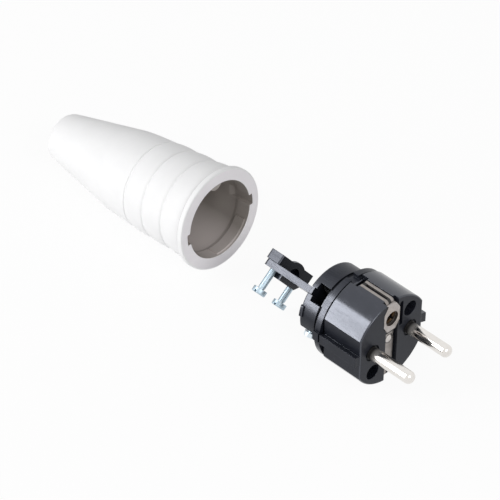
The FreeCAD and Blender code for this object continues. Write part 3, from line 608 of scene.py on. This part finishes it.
def arc(centre, radius, start, end, steps):
    """Points round a centre; angles in degrees, 0 towards the tail and 90 outwards."""
    points = []
    for k in range(steps):
        angle = math.radians(start + (end - start) * k / steps)
        points.append((centre[0] + radius * math.cos(angle), centre[1] + radius * math.sin(angle)))
    return points


def swelling(first, last, steps):
    """A band that stands out a little between its ends."""
    points = []
    for k in range(steps):
        t = k / steps
        points.append((first[0] + (last[0] - first[0]) * t,
                       first[1] + (last[1] - first[1]) * t + BAND_SWELL * 4 * t * (1 - t)))
    return points


def smooth_line(knots, first_slope, last_slope, steps):
    """Cubic spans through the knots."""
    slopes = [first_slope]
    for before, after in zip(knots, knots[2:]):
        slopes.append((after[1] - before[1]) / (after[0] - before[0]))
    slopes.append(last_slope)
    points = []
    for (a0, r0), (a1, r1), m0, m1 in zip(knots, knots[1:], slopes, slopes[1:]):
        span = a1 - a0
        for k in range(steps):
            t = k / steps
            r = ((2 * t**3 - 3 * t**2 + 1) * r0 + (t**3 - 2 * t**2 + t) * span * m0
                 + (3 * t**2 - 2 * t**3) * r1 + (t**3 - t**2) * span * m1)
            points.append((a0 + span * t, r))
    return points


def sleeve_outline():
    """Half section: from the mouth's inner edge over the outside, and back along the inside."""
    outside = straight((0.0, LIP_R + LIP_ROUND), (0.0, FLANGE_R - FLANGE_EDGE), FACE_STEPS)
    outside += arc((FLANGE_EDGE, FLANGE_R - FLANGE_EDGE), FLANGE_EDGE, 180, 90, 8)
    back = (FLANGE_T - FLANGE_BACK_ROUND, FLANGE_R - FLANGE_BACK_ROUND)
    outside += straight((FLANGE_EDGE, FLANGE_R), (back[0], FLANGE_R), 3)
    outside += arc(back, FLANGE_BACK_ROUND, 90, 0, 6)
    corner = (FLANGE_T + FLANGE_CORNER, BANDS[0][1] + FLANGE_CORNER)
    outside += straight((FLANGE_T, back[1]), (FLANGE_T, corner[1]), 4)
    outside += arc(corner, FLANGE_CORNER, 180, 270, 4)
    start = (corner[0], BANDS[0][1])
    for a, r in BANDS[1:]:
        outside += swelling(start, (a - RING_HALF, r), 14)
        outside += [(a - RING_HALF, r), (a - RING_FLANK, r - RING_FLANK_DEEP), (a, r - RING_DEEP),
                    (a + RING_FLANK, r - RING_FLANK_DEEP)]
        start = (a + RING_HALF, r)
    outside += smooth_line(BACK, 0.0, TAIL_SLOPE, 8)
    tangent = (SLEEVE_LEN - SLEEVE_END_DROP, SLEEVE_END_R + SLEEVE_END_DROP * -TAIL_SLOPE)
    outside += straight(BACK[-1], tangent, 16)
    end = (SLEEVE_LEN - SLEEVE_END_ROUND, SLEEVE_END_R - SLEEVE_END_DROP)
    outside += arc(end, SLEEVE_END_ROUND, 80, 0, 8)
    hole = (SLEEVE_LEN - INLET_ROUND, INLET_R + INLET_ROUND)
    outside += straight((SLEEVE_LEN, end[1]), (SLEEVE_LEN, hole[1]), 2)
    outside += arc(hole, INLET_ROUND, 0, -90, 4)
    narrows = (BORE_TAIL[0] + BORE_TAIL[1] - INLET_R, INLET_R)
    inside = straight((hole[0], INLET_R), narrows, 3)
    inside += straight(narrows, BORE_TAIL, 2)
    inside += straight(BORE_TAIL, (BORE_STRAIGHT, BORE_R), 10)
    inside += straight((BORE_STRAIGHT, BORE_R), (UNDERCUT_END + UNDERCUT_FADE, BORE_R), 8)
    inside += straight((UNDERCUT_END + UNDERCUT_FADE, BORE_R), (UNDERCUT_END, UNDERCUT_R), 8)
    inside += straight((UNDERCUT_END, UNDERCUT_R), (LIP_LEN + LIP_FADE, UNDERCUT_R), 4)
    inside += straight((LIP_LEN + LIP_FADE, UNDERCUT_R), (LIP_LEN, LIP_R), 3)
    wall = [PAD_LEN[1] + 0.1, PAD_LEN[1], PAD_LEN[1] - 0.1, 4.8, 4.0, 3.2,
            KEY_LEN[1] + 0.15, KEY_LEN[1], KEY_LEN[1] - 0.15, 2.0, 1.5,
            PAD_LEN[0] + 0.1, PAD_LEN[0], KEY_LEN[0] + 0.15, KEY_LEN[0], 0.6]
    inside += [(a, LIP_R) for a in wall]
    inside += arc((LIP_ROUND, LIP_R + LIP_ROUND), LIP_ROUND, 270, 180, 5)
    return outside, inside


def step_up(value, edge, soft):
    """0 well below the edge, 1 well above it."""
    return min(1.0, max(0.0, (value - edge) / soft + 0.5))


def between(value, low, high, soft):
    """1 between two edges, 0 outside them."""
    return step_up(value, low, soft) * (1.0 - step_up(value, high, soft))


def inner_radius(a, r, angle):
    """Radius of a point on the mouth's wall or front face, with the notches, pads and key in it."""
    spans = PAD_ANGLES + tuple((low - 360, high - 360) for low, high in PAD_ANGLES)
    pads = max(between(angle, low, high, soft=0.4) for low, high in spans)
    off_top = (angle + 180.0) % 360.0 - 180.0
    key = math.sqrt(max(0.0, 1.0 - (off_top / KEY_HALF_ANGLE) ** 2))
    if r < LIP_R + 0.1 and a < LIP_LEN:
        r -= PAD_RISE * pads * between(a, *PAD_LEN, soft=0.12)
        r -= KEY_RISE * key * between(a, *KEY_LEN, soft=0.2)
    notch = max(between(angle, centre - NOTCH_HALF_ANGLE, centre + NOTCH_HALF_ANGLE, soft=0.5)
                for centre in NOTCH_CENTRES)
    if a < UNDERCUT_END + 0.01:
        r += max(0.0, NOTCH_R - r) * notch
    return r


edges = [centre + side * NOTCH_HALF_ANGLE for centre in NOTCH_CENTRES for side in (-1, 1)]
edges += [angle % 360.0 for span in PAD_ANGLES for angle in span]
columns = {COLUMN_STEP * k for k in range(round(360 / COLUMN_STEP))}
for edge in edges:
    columns |= {edge - 0.5, edge - 0.2, edge, edge + 0.2, edge + 0.5}
for k in range(-11, 12):
    columns.add((k * KEY_COLUMN_STEP) % 360.0)
columns = sorted(columns)
outside, inside = sleeve_outline()
outline = outside + inside
points, faces, face_kinds = [], [], []
for angle in columns:
    turned = math.radians(angle)
    for i, (a, r) in enumerate(outline):
        near_mouth = i >= len(outside) or (a < 0.01 and r < NOTCH_R + 0.5)
        if near_mouth and a < UNDERCUT_END + 0.01:
            r = inner_radius(a, r, angle)
        points.append((-a, -r * math.sin(turned), r * math.cos(turned)))
deep = len(outline)
for c in range(len(columns)):
    nxt = (c + 1) % len(columns)
    for i in range(deep):
        j = (i + 1) % deep
        faces.append((c * deep + i, nxt * deep + i, nxt * deep + j, c * deep + j))
        # Faces of the inside get the finish with painted shade, lighter low down as painted light.
        inner = len(outside) <= i < deep - SEAM_FACES
        # Faces of the front face get the finish with painted shade on its lower side.
        front = i < FACE_STEPS
        # Faces at the corner behind the flange get the finish that paints shade there.
        corner = FLANGE_T - 0.45 < outline[i][0] < FLANGE_T + 0.25 and not inner
        face_kinds.append(1 if inner else 2 if front else 3 if corner else 0)


# The inside, the front face's lower side and the corner behind the flange are darker, as painted shade;
# the inside's bottom is lighter, as painted light.
RUBBER = ((0.88, 0.88, 0.885), (0.85, 0.85, 0.855))
INSIDE_PAINTED_SHADE = ((0.37, 0.337, 0.312), (0.32, 0.288, 0.265))
INSIDE_LOW_PAINTED_LIGHT = (0.84, 0.77, 0.75)
FRONT = ((0.90, 0.875, 0.90), (0.87, 0.845, 0.87))
FRONT_LOW_PAINTED_SHADE = (0.74, 0.72, 0.75)
CORNER_PAINTED_SHADE = ((0.62, 0.60, 0.61), (0.56, 0.54, 0.55))
PAINTED_LOW_FADE = (-16.5, -8.0)


def rubber(name, pale, shaded, roughness, painted_low_tone=None):
    """Matte rubber in two clouded tones; its lower side is blended to the given low tone, as painted
    light inside the mouth and painted shade on the front face.
    """
    finish = bpy.data.materials.new(name)
    shade, output = open_tree(finish)
    cloud = speckle(shade, size_mm=9.0, detail=3.0)
    grain = speckle(shade, size_mm=0.3)
    relief = {"Height": grain, "Strength": 0.15, "Distance": 0.03 * MM}
    tone = cloud.above(0.35, 0.8).blend(colour(*pale), colour(*shaded))
    # Blends the lower side to the painted tone: painted light inside, painted shade on the front face.
    if painted_low_tone:
        height = axes_of(shade, "Object", 1.0 / MM)[2]
        tone = height.above(*PAINTED_LOW_FADE).blend(colour(*painted_low_tone), tone)
    surface = shade.node("BsdfPrincipled", {}, {
        "Base Color": tone,
        "Roughness": roughness + cloud * 0.08,
        "Specular IOR Level": 0.3,
        "Normal": shade.node("Bump", {}, relief),
    })
    close_tree(surface, output)
    return finish


inlet = next(m for m in frame["record"]["mounts"] if m["name"] == "cable_inlet")
out_of_mouth = -Vector(inlet["axis"]).normalized()
mouth = Vector(inlet["pos_m"]) + out_of_mouth * MOUTH_TO_INLET * MM
top = Vector((0.0, 0.0, 1.0))
top = (top - top.dot(out_of_mouth) * out_of_mouth).normalized()
lie = Matrix((out_of_mouth, top.cross(out_of_mouth), top)).transposed().to_4x4()
sleeve = make_piece("sleeve", points, faces, Matrix.Translation(mouth) @ lie,
                    rubber("white rubber", *RUBBER, roughness=0.55), smooth_angle=50)
# These finishes paint shade into the inside, the front face's lower side and the corner behind the
# flange, and light into the inside's bottom.
for finish in (rubber("rubber inside in painted shade", *INSIDE_PAINTED_SHADE, roughness=0.5, painted_low_tone=INSIDE_LOW_PAINTED_LIGHT),
               rubber("rubber front face with painted shade", *FRONT, roughness=0.55, painted_low_tone=FRONT_LOW_PAINTED_SHADE),
               rubber("rubber corner in painted shade", *CORNER_PAINTED_SHADE, roughness=0.6)):
    sleeve.data.materials.append(finish)
for face, kind in zip(sleeve.data.polygons, face_kinds):
    face.material_index = kind
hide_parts("rubber_sleeve")
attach(sleeve, "plug")
